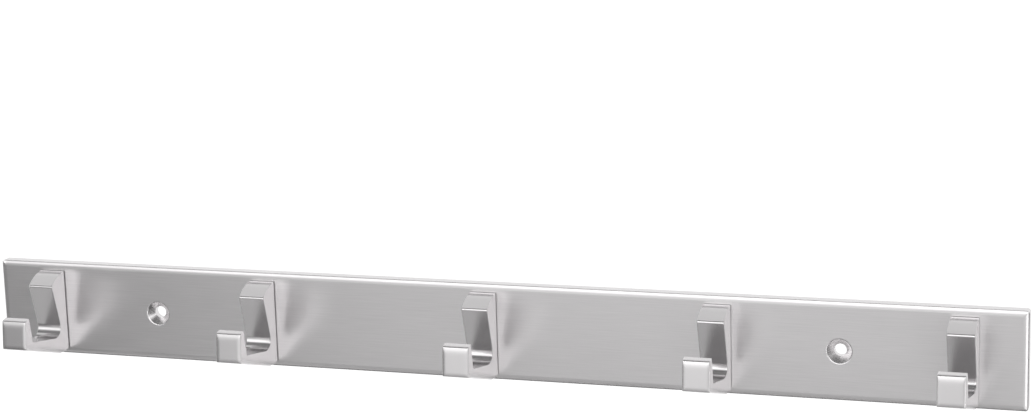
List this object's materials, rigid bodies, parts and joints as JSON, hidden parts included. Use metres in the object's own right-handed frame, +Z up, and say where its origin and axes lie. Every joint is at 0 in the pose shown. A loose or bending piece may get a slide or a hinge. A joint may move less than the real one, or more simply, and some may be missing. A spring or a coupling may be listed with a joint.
{
  "type": "wall hook rack",
  "caption": "Long flat steel bar with softly rolled front edges that carries a row of angular coat hooks with square upturned lips, screwed to a wall.",
  "frame": {"origin": "middle of the bar's back face, which lies on the wall", "axes": "+X along the bar to the right seen from the front, +Y into the wall, +Z up"},
  "size_m": [0.45, 0.044, 0.041],
  "materials": {
    "bar": "satin, fine lengthwise grain",
    "hook": "satin, polished edges",
    "screw": "bright zinc plated"
  },
  "bodies": {
    "root": {"back_plate": "bar", "hook_1": "hook", "hook_1_upper_screw": "screw", "hook_1_lower_screw": "screw", "hook_2": "hook", "hook_2_upper_screw": "screw", "hook_2_lower_screw": "screw", "hook_3": "hook", "hook_3_upper_screw": "screw", "hook_3_lower_screw": "screw", "hook_4": "hook", "hook_4_upper_screw": "screw", "hook_4_lower_screw": "screw", "hook_5": "hook", "hook_5_upper_screw": "screw", "hook_5_lower_screw": "screw"}
  },
  "joints": []
}
